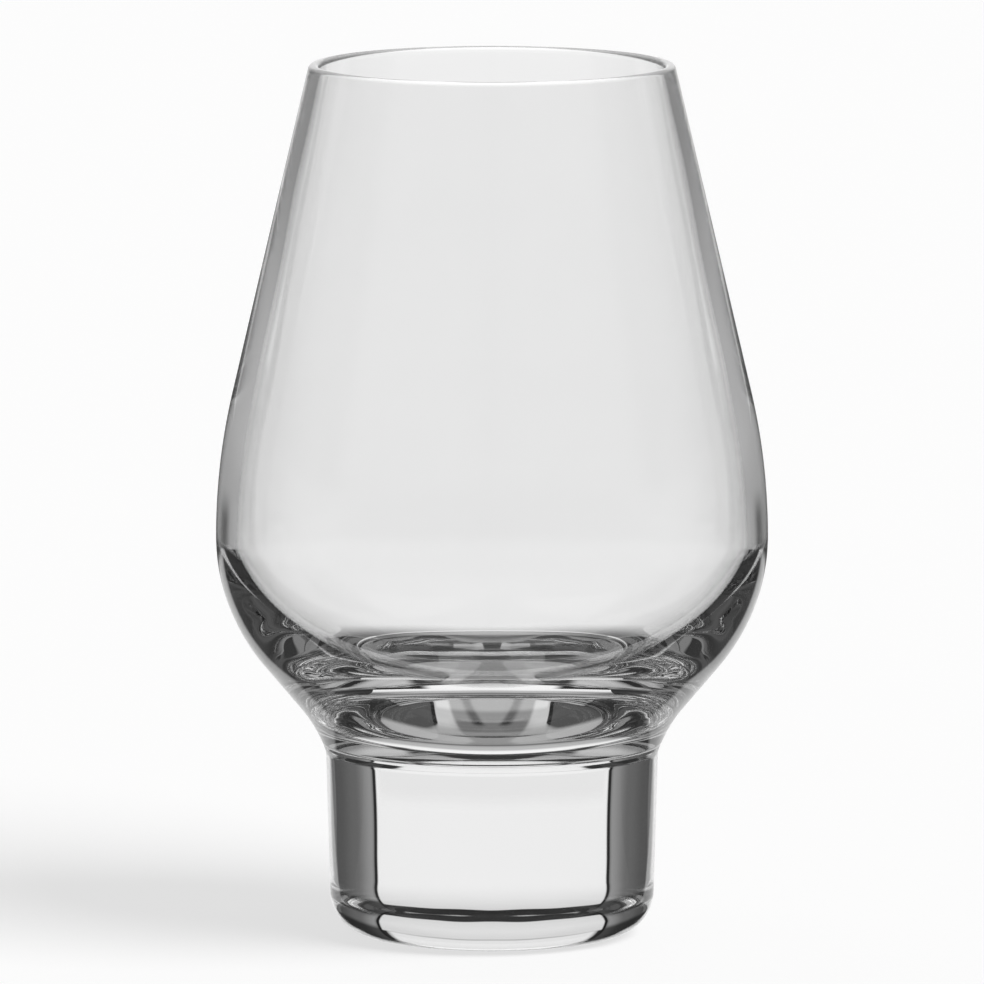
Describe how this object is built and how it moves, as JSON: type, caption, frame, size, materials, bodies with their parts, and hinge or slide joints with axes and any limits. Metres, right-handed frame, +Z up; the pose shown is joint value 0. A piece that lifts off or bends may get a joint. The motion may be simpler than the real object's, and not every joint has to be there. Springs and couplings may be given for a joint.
{
  "type": "whisky nosing glass",
  "caption": "Clear tulip-shaped whisky nosing glass: a round belly narrows into a straight chimney with a polished lip, fused to a heavy solid foot.",
  "frame": {"origin": "centre of the foot's underside, on the table", "axes": "+Z up along the axis that the glass is round about; the picture looks along +Y, with +X to the right"},
  "size_m": [0.0756, 0.0756, 0.12],
  "materials": {
    "glass": "clear colourless glass, fire-polished all over"
  },
  "bodies": {
    "root": {"bowl": "glass", "foot": "glass"}
  },
  "joints": []
}
